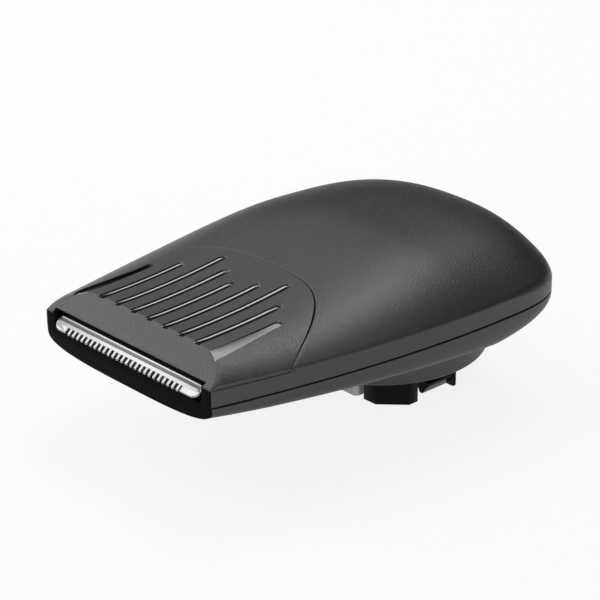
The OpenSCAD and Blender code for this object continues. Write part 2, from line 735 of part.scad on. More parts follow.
top_shell();
front_cover();
lower_shell();
joint_strip();
nose_bezel();
comb_blade();
cutter_blade();
cutter_driver();
cutter_spring();
blade_carrier();
blade_screws();
carrier_screws();
coupling_collar();
coupling_plate();
lug_ring();
snap_hook_left();
snap_hook_right();
locating_key();
plate_screws();
chassis();
lower_bush();
upper_bush();
seal_ring();
drive_spindle();
drive_socket();
crank_disc();
counterweight();
pivot_pin();
pivot_washer();
pivot_clip();
rocker_lever();
rocker_bush();
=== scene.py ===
"""Cutting head of a hair clipper: a matt black housing with a steel comb and cutter in its nose,
and a round coupling below that clicks onto the powered handle."""
import math

import bmesh
import bpy
import numpy as np
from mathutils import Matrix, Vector


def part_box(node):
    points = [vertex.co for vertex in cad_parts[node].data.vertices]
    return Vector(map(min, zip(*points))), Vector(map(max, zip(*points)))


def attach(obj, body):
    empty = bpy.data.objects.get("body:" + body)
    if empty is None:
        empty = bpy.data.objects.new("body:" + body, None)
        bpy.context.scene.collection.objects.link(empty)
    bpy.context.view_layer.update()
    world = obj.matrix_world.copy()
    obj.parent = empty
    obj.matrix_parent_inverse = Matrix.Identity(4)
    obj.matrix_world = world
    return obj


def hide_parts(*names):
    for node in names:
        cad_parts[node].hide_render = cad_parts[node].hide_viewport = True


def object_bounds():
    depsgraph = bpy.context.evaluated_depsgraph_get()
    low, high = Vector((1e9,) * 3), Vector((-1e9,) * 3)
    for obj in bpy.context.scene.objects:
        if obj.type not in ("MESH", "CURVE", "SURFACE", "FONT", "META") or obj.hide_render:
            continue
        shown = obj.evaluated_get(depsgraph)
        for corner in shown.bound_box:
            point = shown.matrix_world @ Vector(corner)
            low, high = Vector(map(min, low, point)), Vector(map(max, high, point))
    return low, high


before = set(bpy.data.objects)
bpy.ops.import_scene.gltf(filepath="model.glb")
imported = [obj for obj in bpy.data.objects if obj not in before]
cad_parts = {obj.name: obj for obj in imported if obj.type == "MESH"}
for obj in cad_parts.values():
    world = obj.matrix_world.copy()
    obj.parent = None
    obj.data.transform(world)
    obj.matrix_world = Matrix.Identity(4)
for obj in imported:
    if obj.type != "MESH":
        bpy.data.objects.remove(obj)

cad_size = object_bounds()


# ---- Upper shell -------------------------------------------------------------------------
# The crown and the upright band below it are one moulding in black plastic. Its mould was
# spark-eroded, which leaves a fine even grain, and its edge along the front cover is an arch.

MM = 0.001
nose_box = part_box("nose_bezel")
crown_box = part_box("top_shell")
strip_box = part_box("joint_strip")
LIP = nose_box[0].y / MM                    # the front face, in millimetres along Y
SEAM = (strip_box[0].z + strip_box[1].z) / 2 / MM
AXIS = -LIP                                 # from the lip to the coupling axis
LENGTH = crown_box[1].y / MM - LIP
HALF_LIP = nose_box[1].x / MM
HALF_WIDE = crown_box[1].x / MM
SEAM_GAP = (strip_box[1].z - strip_box[0].z) / MM
BAND = 4.0                                  # height of the upright band
CROWN = crown_box[1].z / MM - SEAM - BAND
BROW = 3.95                                 # rise of the crown at the top of the ramp
CREST = 4                                   # from the axis forward to the highest station
TAIL = 3.7                                  # squareness of the plan behind the axis
SQUARE_FRONT, ROUND_REAR = 7.5, 2.35        # powers of the crown's section at its two ends
WALL = 1.8
ROOF = 1.6
FRONT = 0.08                                # the shells' front edges, round the bezel's plate
PLATE = 0.9                                 # thickness of that plate, which lies in a rebate
REBATE = 0.14                               # wall left outside the rebate
RAIL = 3.5                                  # top of the band where the cover sits on it
COVER_SIDE = 17.4                           # where the arch of the cover meets the band
COVER_END = 37.4                            # top of the arch, on the middle line
ARCH_HALF = 28.3                            # half width of the arch where it meets the band
ARCH_EDGE = 0.12                            # radius of the two edges along the arch
ARCH_FIELD = 45.0                           # lines ahead of this station follow the arch
ROUNDER_FROM = 64                           # the crown's edge gets rounder behind this station


def roll(t, a, b):
    """Falls from 1 to 0 along a superellipse: (1 - t^a)^(1/b)."""
    return (1 - np.clip(t, 0, 1) ** a) ** (1 / b)


def half_width(y):
    """Half the plan's width: 1 - (1 - t)^1.85 from the lip to the axis, then a superellipse."""
    fore = 1 - (1 - np.minimum(1, y / AXIS)) ** 1.85
    aft = roll((y - AXIS) / (LENGTH - AXIS), TAIL, 4.3)
    return (HALF_LIP + (HALF_WIDE - HALF_LIP) * fore) * aft


def crown_height(u, y):
    """Height of the crown over the seam at the share u of the half width: the rise along the
    middle times 1 - |u|^n, with n falling from the flat-topped front to the round rear."""
    t = np.minimum(1, y / (AXIS - CREST)) ** 1.45
    rise = BROW + (CROWN - BROW) * t * t * (3 - 2 * t)
    rise = rise * roll((y - AXIS + CREST) / (LENGTH - AXIS + CREST), 3.5, 3.9)
    power = SQUARE_FRONT + (ROUND_REAR - SQUARE_FRONT) * y / LENGTH
    return BAND + rise * (1 - np.abs(u) ** power)


def share(x, y):
    """How far out x lies, as a share of the half width at y."""
    return np.clip(np.abs(x) / np.maximum(half_width(y), 1e-6), 0, 1)


def drawn_in(x, y, inset):
    """The point on the inside of a wall: narrower ahead of the axis, shorter behind it."""
    behind = np.maximum(0, y - AXIS)
    width = np.where(y <= AXIS, 1 - inset / np.maximum(half_width(y), 1e-6), 1 - inset / HALF_WIDE)
    return x * width, y - behind * inset / (LENGTH - AXIS)


def rounding(d, r):
    """Drop of a quarter circle of radius r at the distance d from an edge."""
    return r - np.sqrt(np.maximum(0, r * r - np.maximum(0, r - d) ** 2))


def edge_steps(r, count=6):
    """Distances from an edge that follow a quarter circle evenly."""
    return r * (1 - np.cos(np.linspace(0, np.pi / 2, count)))


def arch(x):
    """Rear edge of the front cover, from the lip, at the distance x from the middle. It falls
    from the top of the arch with the power 3.2."""
    return COVER_END - (COVER_END - COVER_SIDE) * (np.abs(x) / ARCH_HALF) ** 3.2


def settled(like, target):
    """The y that target(y) gives back unchanged, one for each line, found in 14 short steps."""
    y = np.full_like(like, 25.0)
    for _ in range(14):
        y = y + 0.6 * (target(y) - y)
    return y


def to_part(x, y, z):
    """Millimetres from the lip and the seam into metres in the part's frame."""
    x, y, z = np.broadcast_arrays(x, y, z)
    return np.stack([x, y + LIP, z + SEAM], axis=-1) * MM


def grid_faces(rows, cols, wrap=False):
    """Quads of a grid of points, row by row. A wrapped grid joins its last column to its first."""
    j, i = np.meshgrid(np.arange(rows - 1), np.arange(cols if wrap else cols - 1), indexing="ij")
    k = (i + 1) % cols
    corners = [j * cols + i, (j + 1) * cols + i, (j + 1) * cols + k, j * cols + k]
    return np.stack(corners, -1).reshape(-1, 4)


def add_piece(name, points, faces, material, slot, body="housing", sharp=35, keep=None):
    """An object from points and quads: doubles are merged, faces turned outward, and shading is
    smooth up to the angle sharp. keep says which faces stay, by their middle."""
    points = np.asarray(points, float).reshape(-1, 3)
    mesh = bpy.data.meshes.new(name)
    mesh.from_pydata(points.tolist(), [], [tuple(int(v) for v in f) for f in faces])
    made = bmesh.new()
    made.from_mesh(mesh)
    bmesh.ops.remove_doubles(made, verts=made.verts, dist=2e-7)
    bmesh.ops.dissolve_degenerate(made, edges=made.edges, dist=1e-7)
    if keep is not None:
        dropped = [f for f in made.faces if not keep(f.calc_center_median())]
        bmesh.ops.delete(made, geom=dropped, context="FACES")
    bmesh.ops.recalc_face_normals(made, faces=made.faces)
    made.to_mesh(mesh)
    made.free()
    mesh.shade_smooth()
    mesh.set_sharp_from_angle(angle=math.radians(sharp))
    mesh.materials.append(material)
    piece = bpy.data.objects.new(name, mesh)
    bpy.context.scene.collection.objects.link(piece)
    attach(piece, body)
    return piece


def walled(outer, inner, folded=False):
    """Points and quads of a closed wall between two grids of the same shape. A folded grid meets
    itself along its last row, which needs no rim."""
    rows, cols = outer.shape[:2]
    n = rows * cols
    faces = grid_faces(rows, cols)
    at = np.arange(n).reshape(rows, cols)
    rims = [(at[0], 1), (at[-1], -1), (at[:, 0], -1), (at[:, -1], 1)]
    if folded:
        rims.pop(1)
    strips = [np.stack([r[:-1], r[1:], r[1:] + n, r[:-1] + n], -1)[:, ::way] for r, way in rims]
    points = np.concatenate([outer.reshape(-1, 3), inner.reshape(-1, 3)])
    return points, np.concatenate([faces, faces[:, ::-1] + n, *strips])


def together(parts):
    """Several sets of points and quads as one."""
    shift = np.cumsum([0] + [len(points) for points, _ in parts[:-1]])
    faces = [tuple(quad + s) for (_, quads), s in zip(parts, shift) for quad in quads]
    return np.concatenate([points for points, _ in parts]), faces


def calculated(tree, operation, *inputs):
    """The result of a math node. Each input is a socket to link or a value to set."""
    made = tree.nodes.new("ShaderNodeMath")
    made.operation = operation
    for socket, given in zip(made.inputs, inputs):
        if isinstance(given, bpy.types.NodeSocket):
            tree.links.new(given, socket)
        else:
            socket.default_value = given
    return made.outputs[0]


def textured(tree, colour, spread, rough, depth, tint_by, fine):
    """Varies the shader by noise: the colour by the share spread of itself with the socket
    tint_by, and with the socket fine the roughness by a quarter and the height by depth."""
    links = tree.links
    shader = tree.nodes["Principled BSDF"]
    tint = tree.nodes.new("ShaderNodeValToRGB")
    for element, position, way in zip(tint.color_ramp.elements, (0.3, 0.7), (-1, 1)):
        element.position = position
        element.color = tuple(c * (1 + way * spread) for c in colour) + (1,)
    links.new(tint_by, tint.inputs["Fac"])
    links.new(tint.outputs["Color"], shader.inputs["Base Color"])
    gloss = tree.nodes.new("ShaderNodeMapRange")
    for key, value in (("From Min", 0.3), ("From Max", 0.7),
                       ("To Min", rough * 0.75), ("To Max", rough * 1.25)):
        gloss.inputs[key].default_value = value
    links.new(fine, gloss.inputs["Value"])
    links.new(gloss.outputs["Result"], shader.inputs["Roughness"])
    bump = tree.nodes.new("ShaderNodeBump")
    bump.inputs["Strength"].default_value = 1.0
    bump.inputs["Distance"].default_value = depth * MM
    links.new(fine, bump.inputs["Height"])
    links.new(bump.outputs["Normal"], shader.inputs["Normal"])


def moulded(name, colour, rough, grain, depth, mottle=0.15, specular=0.5):
    """Moulded plastic: a fine grain of the pitch grain in millimetres that lifts the surface by
    depth and scatters the gloss, over a faint slow mottle of the colour."""
    material = bpy.data.materials.new(name)
    material.use_nodes = True
    tree = material.node_tree
    shader = tree.nodes["Principled BSDF"]
    shader.inputs["Specular IOR Level"].default_value = specular
    shader.inputs["Coat Roughness"].default_value = 0.05
    place = tree.nodes.new("ShaderNodeTexCoord")

    def noise(pitch, detail):
        made = tree.nodes.new("ShaderNodeTexNoise")
        made.inputs["Scale"].default_value = 1 / (pitch * MM)
        made.inputs["Detail"].default_value = detail
        tree.links.new(place.outputs["Object"], made.inputs["Vector"])
        return made.outputs["Fac"]

    fine = noise(grain, 3.0)
    slow = calculated(tree, "MULTIPLY", noise(9.0, 2.0), 0.35)
    textured(tree, colour, mottle, rough, depth,
             calculated(tree, "MULTIPLY_ADD", fine, 0.65, slow), fine)
    return material


matt_black = moulded("matt_black_plastic", (0.010, 0.010, 0.011), 0.385, grain=0.28, depth=0.11,
                     specular=0.74)

FAN = AXIS + 6                              # lines behind this station meet in one point
shoulder = np.linspace(COVER_SIDE, ARCH_FIELD, 42)


def round_the_rear(count):
    """Stations from the axis to the rear that lie evenly along the outline."""
    t = np.linspace(0, 1, 4000)
    turned = np.sin(np.pi / 2 * (1 - (1 - t ** 1.8) ** 2.2))
    y = AXIS + (LENGTH - AXIS) * turned ** (2 / TAIL)
    run = np.concatenate([[0], np.cumsum(np.hypot(np.diff(half_width(y)), np.diff(y)))])
    return np.append(np.interp(np.linspace(0, run[-1], count), run, y)[:-1], LENGTH)


tail_y = round_the_rear(80)
stations = np.concatenate([shoulder, np.linspace(ARCH_FIELD, AXIS, 34)[1:], tail_y[1:]])
behind = np.clip((stations - ROUNDER_FROM) / (LENGTH - ROUNDER_FROM), 0, 1)
edge_radius = (0.35 + 1.3 * behind * behind * (3 - 2 * behind))[:, None]
crown_steps = np.concatenate([edge_steps(1.0, 8), [1.25, 1.6, 2.0]])[None, :] * edge_radius
inner_shares = 1 - np.linspace(0, 1, 46)[1:] ** 0.9


def crown_grid():
    """Half the crown, one row to a station: every row runs in from the outline to the spine, and
    the rows in the arch's field follow the arch. Returns x, y, the distance to the edge, and the
    distance to the arch."""
    w = half_width(stations)[:, None]
    spine = np.minimum(stations, FAN)[:, None]
    reach = np.hypot(w, stations[:, None] - spine)
    rho = np.concatenate([1 - crown_steps / reach,
                          (1 - crown_steps[:, -1:] / reach) * inner_shares[None, :]], axis=1)
    x = rho * w
    y = spine + rho * (stations[:, None] - spine)
    first = len(shoulder)
    f = ((shoulder - COVER_SIDE) / (ARCH_FIELD - COVER_SIDE))[:, None]
    start = settled(rho[:first], lambda at: arch(rho[:first] * half_width(at)))
    y[:first] = start + f * (ARCH_FIELD - start)
    x[:first] = rho[:first] * half_width(y[:first])
    to_arch = np.full_like(y, 99.0)
    to_arch[:first] = y[:first] - start
    return x, y, (1 - rho) * reach, to_arch


x, y, to_edge, to_arch = crown_grid()
crown_z = crown_height(share(x, y), y)
crown_top = crown_z - rounding(to_edge, edge_radius) - rounding(to_arch, ARCH_EDGE)
band_t = np.concatenate([[0], np.linspace(0.035, 1, 9)])
band_in = np.concatenate([[0.12], np.zeros(9)])


def band_rows(ys, top):
    """The band along one side: from the seam, where its edge is rounded, up to the height top."""
    w, y = drawn_in(half_width(ys)[:, None], ys[:, None], band_in[None, :])
    return w, y, SEAM_GAP / 2 + band_t * (top - SEAM_GAP / 2) * np.ones_like(w)


def mirrored(half, sign=1):
    """A grid that ends on the middle line, continued on the other side."""
    return np.concatenate([half, sign * half[:, -2::-1]], axis=1)


bx, by, bz = band_rows(stations, BAND - edge_radius)
_, _, band_under = band_rows(stations, BAND - ROOF)
full_x = mirrored(np.concatenate([bx, x], axis=1), -1)
full_y = mirrored(np.concatenate([by, y], axis=1))
full_z = mirrored(np.concatenate([bz, crown_top], axis=1))
full_under = mirrored(np.concatenate([band_under, crown_z - ROOF], axis=1))
in_x, in_y = drawn_in(full_x, full_y, WALL)
parts = [walled(to_part(full_x, full_y, full_z), to_part(in_x, in_y, full_under), folded=True)]
rail_stations = np.concatenate([[FRONT, FRONT + 0.1, PLATE - 0.01, PLATE],
                                np.linspace(1.5, COVER_SIDE, 30)])
rail_x, rail_y, rail_z = band_rows(rail_stations, RAIL)
rail_z = rail_z - 0.001
ix, iy = drawn_in(rail_x, rail_y, np.where(rail_stations < PLATE, REBATE, WALL)[:, None])
for side in (1, -1):
    parts.append(walled(to_part(rail_x * side, rail_y, rail_z), to_part(ix * side, iy, rail_z)))

upper_shell = add_piece("upper_shell", *together(parts), matt_black, "shell_black")
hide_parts("top_shell")


# ---- Front cover -------------------------------------------------------------------------
# A separate moulding in the same plastic: the ramp behind the blade, and nine thumb grooves with
# half-round rear ends that run out onto the ramp. It snaps onto the side rails of the band.

SLOPE = math.radians(34)                    # of the ramp and of the blade
TILT = math.tan(SLOPE)
NOTCH = 22.0                                # half width of the set-back above the blade
SET_BACK = 0.95                             # of the cover's front edge inside the notch
RAMP = 3.75                                 # height of the ramp's lower edge
PITCH = 4.8
OUTER = 4 * PITCH                           # middle of the outer groove, from the middle one's
GROOVE = 0.88                               # half width of a groove
GROOVE_DEPTH = 0.44
GROOVE_FLAT = 0.68                          # half width of its flat floor, as a share
WALL_SHARE = 0.74                           # of the depth, taken by the upright walls
SLOPE_SHARE = 0.26                          # of the depth, taken by the slopes below them
FLARE = 1.3                                 # the outer grooves widen outward by this much
OFF_CENTRE = -0.3                           # the row of grooves lies this far off the middle
GROOVE_ENDS = (27.4, 30.4, 33.9, 26.9, 22.8)   # rear ends, from the middle groove outward
COVER = 1.5                                 # thickness
SIDE_IN = 0.2                               # the cover's sides stand in from the band's
UNDERCUT = 0.9                              # of its front edge


def flare(y):
    """Growth of the outer grooves towards the ramp, straight from 1 to 1 + FLARE in 12 mm."""
    return 1 + FLARE * np.clip((GROOVE_ENDS[4] - 3.5 - y) / 12, 0, 1)


def widened(x, y):
    """Moves what lies outside the middle of the outer groove further out with its flare."""
    beyond = np.abs(x) - OUTER
    return np.where(beyond > 0, np.sign(x) * (OUTER + beyond * flare(y)), x)


def run_out(y):
    """Share of a groove's depth: 0.55 up to 5.5 mm from the lip, and 1 from 9 mm on."""
    return 0.55 + 0.45 * np.clip((y - 5.5) / 3.5, 0, 1)


def groove_drop(x, y):
    """Depth of the grooves: low upright walls, then slopes down to a flat floor, closed by a half
    circle and less deep where it runs out onto the ramp. The outer grooves have one slope."""
    k = np.clip(np.round((x - OFF_CENTRE) / PITCH), -4, 4)
    end = np.array(GROOVE_ENDS)[np.abs(k).astype(int)]
    off = x - OFF_CENTRE - k * PITCH
    outer = np.abs(k) == 4
    to_far_edge = np.maximum(0, GROOVE * flare(y) - off * np.sign(k))
    off = np.where(outer & (off * k > 0), off / flare(y), off)
    r = np.hypot(off, np.maximum(0, y - (end - GROOVE)))
    wall = np.clip((GROOVE + 0.03 - r) / 0.05, 0, 1)
    floor = np.clip((1 - r / GROOVE) / (1 - GROOVE_FLAT), 0, 1)
    profile = np.where(outer, (1 - SLOPE_SHARE * to_far_edge) * wall,
                       WALL_SHARE * wall + SLOPE_SHARE * floor)
    return np.where(outer, 1.0, run_out(y)) * GROOVE_DEPTH * profile


def cover_height(x, y):
    """The lower of the ramp and the grooved crown. A chamfer that widens towards the sides breaks
    the edge where they meet."""
    ramp = RAMP + y * TILT
    u = share(x, y)
    panel = crown_height(u, y) - groove_drop(x, y)
    chamfer = (ramp + panel) / 2 - (0.04 + 0.22 * u ** 6)
    return np.minimum(np.minimum(ramp, panel), chamfer)


half_groove = np.append(GROOVE * np.array([0.2, 0.42, GROOVE_FLAT, 0.72, 0.82, 0.92, 0.965]),
                        [GROOVE - 0.005, GROOVE + 0.03, GROOVE + 0.09])
wall_x = np.concatenate([-half_groove[::-1], [0], half_groove])
middle = np.sort(np.concatenate([
    np.add.outer(np.arange(-4, 5) * PITCH, wall_x).ravel(),
    np.add.outer(np.arange(-3.5, 4) * PITCH, [-0.8, 0, 0.8]).ravel()]))
inner_x = middle[-1]
side_share = np.concatenate([np.linspace(0, 1, 26)[1:-1] ** 0.8, 1 - edge_steps(0.02)[::-1]])
side_share = np.unique(np.clip(side_share, 0.02, 1.0))
to_lip_end = HALF_LIP - 0.1 - inner_x
notch_share = (NOTCH - inner_x) / to_lip_end
side_share = np.sort(np.append(side_share, [notch_share - 0.004, notch_share + 0.004]))
sides = np.ones(len(side_share))
sign = np.concatenate([-sides, np.zeros(len(middle)), sides])
out = np.concatenate([side_share[::-1], np.zeros(len(middle)), side_share])
fixed = np.concatenate([0 * sides, middle, 0 * sides])


def column(y):
    """Distance of each column from the middle: fixed over the grooves, and a share of the way
    from there to the side edge beside them."""
    return np.where(sign == 0, np.abs(fixed), inner_x + out * (half_width(y) - SIDE_IN - inner_x))


rear = settled(out, lambda at: arch(column(at)) - 0.14)
lip_line = np.where(inner_x + out * to_lip_end < NOTCH, SET_BACK, 0.0)
end_at = np.minimum(np.interp(column(rear), np.arange(5) * PITCH, GROOVE_ENDS), rear - 1.5)
stops = np.stack([lip_line, lip_line + 0.1, np.full(len(out), 8.5), end_at - 1.3, end_at + 0.1,
                  rear - 0.12, rear])
counts = (3, 52, 16, 22, 14, 5)             # rows between one stop and the next
cy = np.concatenate([a + (b - a) * np.linspace(0, 1, n + 1)[:-1, None]
                     for a, b, n in zip(stops[:-1], stops[1:], counts)] + [stops[-1:]])
edge = half_width(cy) - SIDE_IN
inner_edge = widened(inner_x, cy) + sign * OFF_CENTRE
cx = np.where(sign == 0, widened(fixed, cy) + OFF_CENTRE,
              sign * (inner_edge + out * (edge - inner_edge)))
cz = cover_height(cx, cy) - rounding(rear - cy, ARCH_EDGE) - rounding(cy - lip_line, 0.1)
cz = cz - rounding(edge - np.abs(cx), 0.2)
plain = np.minimum(RAMP + cy * TILT, crown_height(share(cx, cy), cy))
inner_z = np.maximum(np.minimum(plain - COVER, cz - 0.3), RAIL)
cz = np.maximum(cz, RAIL + 0.02)


def second_finish(tree, mask, own, colour, rough):
    """Mixes another colour and roughness into a shader by the socket mask. The shader's own
    finish stays where the mask has the value own, 0 or 1."""
    shader = tree.nodes["Principled BSDF"]
    for key, value in (("Base Color", (*colour, 1)), ("Roughness", (rough, rough, rough, 1))):
        mix = tree.nodes.new("ShaderNodeMix")
        mix.data_type = "RGBA"
        ends = mix.inputs[6], mix.inputs[7]     # the colours where the mask is 0 and 1
        ends[1 - own].default_value = value
        tree.links.new(mask, mix.inputs[0])
        tree.links.new(shader.inputs[key].links[0].from_socket, ends[own])
        tree.links.new(mix.outputs[2], shader.inputs[key])


def polished_and_shaded_where(material, mark, colour, rough):
    """Where the mesh carries the attribute mark, gives a material a polished gloss without its
    grain and a darker colour, which is painted shade in the recess, and adds a clear coat where it
    carries the mark's floor."""
    tree = material.node_tree
    shader = tree.nodes["Principled BSDF"]
    where = tree.nodes.new("ShaderNodeAttribute")
    where.attribute_name = mark
    second_finish(tree, where.outputs["Fac"], 0, colour, rough)
    bump = shader.inputs["Normal"].links[0].from_node
    tree.links.new(calculated(tree, "SUBTRACT", 1.0, where.outputs["Fac"]), bump.inputs["Strength"])
    coated = tree.nodes.new("ShaderNodeAttribute")
    coated.attribute_name = mark + "_floor"
    tree.links.new(coated.outputs["Fac"], shader.inputs["Coat Weight"])
    return material


def mark_points(piece, name, values):
    """Stores a number at each vertex of a piece, worked out from the x and y of its vertices."""
    at = np.empty(len(piece.data.vertices) * 3)
    piece.data.vertices.foreach_get("co", at)
    x, y, _ = at.reshape(-1, 3).T / MM
    layer = piece.data.attributes.new(name, "FLOAT", "POINT")
    layer.data.foreach_set("value", values(x, y - LIP).astype(np.float32))


def in_groove(x, y):
    """1 inside a thumb groove, and 0 on the ramp."""
    drop = groove_drop(x, y)
    below = RAMP + y * TILT - (crown_height(share(x, y), y) - drop)
    return np.clip(drop / 0.05, 0, 1) * np.clip(below / 0.05, 0, 1)


def on_floor(x, y):
    """1 on the floor of all but the outer thumb grooves, between their walls."""
    deep = groove_drop(x, y) > 0.75 * GROOVE_DEPTH * run_out(y)
    return in_groove(x, y) * deep * (np.abs(x - OFF_CENTRE) < 3.5 * PITCH)


# The grooves get their polish and a darker colour. The darker colour is painted shade in them.
cover_black = polished_and_shaded_where(matt_black.copy(), "groove", (0.004, 0.004, 0.0045), 0.17)
cover_black.name = "cover_black_plastic"
inner_y = cy + UNDERCUT * np.clip(1 - (cy - lip_line) / 5, 0, 1) * (lip_line > 0)
cover_walls = walled(to_part(cx, cy, cz), to_part(cx, inner_y, inner_z))
front_cover = add_piece("front_cover_skin", *cover_walls, cover_black, "cover_black", sharp=50)
mark_points(front_cover, "groove", in_groove)
mark_points(front_cover, "groove_floor", on_floor)
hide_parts("front_cover")


# ---- Lower shell -------------------------------------------------------------------------
# The bowl is moulded in the same plastic. It closes the housing from below, and the collar of
# the coupling comes out through the round hole in its floor.

CHIN = 4.4                                  # depth at the lip
BOWL = 9.7                                  # greatest depth
LOWEST = 2                                  # from the axis back to the deepest station
SECTION = 0.3                               # power that closes the bowl's section
FLAT = 0.9                                  # share of the half width with even columns
PARTING = 0.9                               # slant of the front edge, back from seam to chin
collar_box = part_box("coupling_collar")
COLLAR = collar_box[1].x / MM


def bowl_depth(y):
    """Depth of the bowl along its middle: a straight fall to the axis, then a superellipse."""
    depth = CHIN + (BOWL - CHIN) * np.minimum(1, y / (AXIS + LOWEST))
    return depth * roll((y - AXIS - LOWEST) / (LENGTH - AXIS - LOWEST), 1.4, 1.4)


def bowl_height(u, y):
    """Underside at the share u: the depth times (1 - |u|^n)^0.3, with n from 3.2 at the chin,
    where the section is rounder, to 4."""
    t = np.clip(y / 14, 0, 1)
    power = 2 / (0.62 - 0.12 * t * t * (3 - 2 * t))
    return -bowl_depth(y) * (1 - np.abs(u) ** power) ** SECTION


bowl_y = np.concatenate([[FRONT, FRONT + 0.1, PLATE - 0.01, PLATE, 1.15],
                         np.linspace(1.5, AXIS, 90), tail_y[1:]])
low = np.linspace((1 - FLAT ** 4) ** SECTION, 0, 26)[1:]
bowl_rho = np.concatenate([np.linspace(0, FLAT, 60), (1 - low ** (1 / SECTION)) ** 0.25])
spine = np.minimum(bowl_y, AXIS)[:, None]
lx = bowl_rho[None, :] * half_width(bowl_y)[:, None]
ly = spine + bowl_rho[None, :] * (bowl_y[:, None] - spine)
lz = np.minimum(bowl_height(share(lx, ly), ly), -SEAM_GAP / 2)
lx = lx - 0.1 * np.clip((lz + SEAM_GAP / 2 + 0.1) / 0.1, 0, 1) ** 2 * np.sign(lx)
ly = ly + PARTING * np.clip(-lz / CHIN, 0, 1) * np.clip(1 - ly / 5, 0, 1)
lx, ly, lz = (np.concatenate([sign_left * a[:, :0:-1], a], axis=1)
              for a, sign_left in ((lx, -1), (ly, 1), (lz, 1)))
inset = np.where(bowl_y < PLATE, REBATE, WALL)[:, None]
ix, iy = drawn_in(lx, ly, inset)
deepest = np.maximum(-lz.min(axis=1, keepdims=True), inset + 0.02)
iz = -SEAM_GAP / 2 + (lz + SEAM_GAP / 2) * (1 - inset / deepest)


def outside_collar(centre):
    """Keeps what lies outside the middle of the collar's wall."""
    return math.hypot(centre.x, centre.y) > (COLLAR - 0.9) * MM


bowl_walls = walled(to_part(lx, ly, lz), to_part(ix, iy, iz), folded=True)
lower_shell = add_piece("lower_shell_skin", *bowl_walls, matt_black, "shell_black",
                        keep=outside_collar)
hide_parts("lower_shell")


# ---- Nose bezel --------------------------------------------------------------------------
# A polished black moulding closes the nose. Its plate lies in a rebate of the shells and stands as
# a pillar on each side of the blade, and a block behind it plugs into the housing.

CHANNEL = 22.1                              # half width of the blade's opening
REACH = 1.4                                 # from the lip forward to the tooth tips
OPENING_FLOOR = 0.195                       # of the opening at the lip; it rises as the ramp does
OPENING_RISE = 1.45                         # the most that it rises
NOSE_EDGE = 0.22                            # radius of the plate's front edge
PLUG_IN = 2.6                               # the plug stands in from the plate's outline
PLUG_END = 4.0
WINDOW = 6.5                                # half width of the gap for the driver
WINDOW_FLOOR = -1.3
comb_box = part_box("comb_blade")


def chin_line(w, depth, count=61):
    """The chin from one side round to the other: (sin a)^0.62 across, (cos a)^0.6 down."""
    a = np.linspace(np.pi / 2, -np.pi / 2, count)
    across = np.sign(a) * np.abs(np.sin(a)) ** 0.62 * w
    return np.stack([across, -depth * np.maximum(0, np.cos(a)) ** 0.6], -1)


def fillet(corner, before, after, r, count=5):
    """Points of a quarter turn of radius r at a corner between two directions."""
    t = np.linspace(0, np.pi / 2, count)[:, None]
    return (np.array(corner) - np.asarray(before) * r * (1 - np.sin(t))
            + np.asarray(after) * r * (1 - np.cos(t)))


def outward(loop):
    """Unit normals of a closed loop, each scaled so that its two sides move by the same step."""
    ahead = np.roll(loop, -1, 0) - loop
    ahead /= np.linalg.norm(ahead, axis=1, keepdims=True)
    turn = np.stack([ahead[:, 1], -ahead[:, 0]], -1)
    area = np.sum(loop[:, 0] * np.roll(loop[:, 1], -1) - loop[:, 1] * np.roll(loop[:, 0], -1))
    both = (turn + np.roll(turn, 1, 0)) * np.sign(area)
    return both / np.maximum(0.35, np.sum(both * both, axis=1, keepdims=True) / 2)


def lofted(rows):
    """Points and faces of a closed bar through loops of equal length, flat at both ends."""
    count, n = len(rows), len(rows[0])
    faces = [tuple(f) for f in grid_faces(count, n, wrap=True)]
    ends = [tuple(range(n)), tuple((count - 1) * n + i for i in range(n - 1, -1, -1))]
    return np.concatenate(rows), faces + ends


def plate_rows(loop, ys, insets, lift):
    """The loop at each station of y, drawn in by its inset; the opening's floor rises with y."""
    rows = []
    for y, inset in zip(ys, insets):
        at = loop - outward(loop) * inset
        z = at[:, 1] + lift * np.minimum(y * TILT, OPENING_RISE)
        rows.append(to_part(at[:, 0], np.full(len(at), y), z))
    return rows


rim = HALF_LIP - 0.05
opening = np.concatenate([
    [[-rim, RAIL - 0.02], [-CHANNEL - 0.3, RAIL - 0.02], [-CHANNEL, RAIL - 0.3],
     [-CHANNEL, OPENING_FLOOR + 0.5]],
    fillet([-CHANNEL, OPENING_FLOOR], (0, -1), (1, 0), 0.5)[1:],
    fillet([CHANNEL, OPENING_FLOOR], (1, 0), (0, 1), 0.5),
    [[CHANNEL, OPENING_FLOOR + 1.0], [CHANNEL, RAIL - 0.3], [CHANNEL + 0.3, RAIL - 0.02],
     [rim, RAIL - 0.02]]])
loop = np.concatenate([chin_line(rim, CHIN), opening])
on_opening_floor = ((np.abs(loop[:, 0]) < CHANNEL + 0.01) & (loop[:, 1] < OPENING_FLOOR + 0.6)
                    & (loop[:, 1] > 0)).astype(float)
front_steps = edge_steps(NOSE_EDGE)
plate = lofted(plate_rows(loop, np.append(front_steps, PLATE - 0.02),
                          np.append(rounding(front_steps, NOSE_EDGE), 0.0), on_opening_floor))
plug_w = HALF_LIP - PLUG_IN
plug_loop = np.concatenate([chin_line(plug_w, CHIN - PLUG_IN, 25), [
    [-plug_w, OPENING_FLOOR], [-WINDOW, OPENING_FLOOR], [-WINDOW, WINDOW_FLOOR],
    [WINDOW, WINDOW_FLOOR], [WINDOW, OPENING_FLOOR], [plug_w, OPENING_FLOOR]]])
plug = lofted(plate_rows(plug_loop, [PLATE - 0.04, 1.4, 2.15, PLUG_END], [0, 0, 0, 0],
                         (plug_loop[:, 1] > 0.1).astype(float)))
polished_black = moulded("polished_black_plastic", (0.0030, 0.0030, 0.0034), 0.16, grain=0.9,
                         depth=0.002, specular=0.02)
nose = add_piece("nose_bezel_skin", *together([plate, plug]), polished_black, "gloss_black",
                 sharp=30)
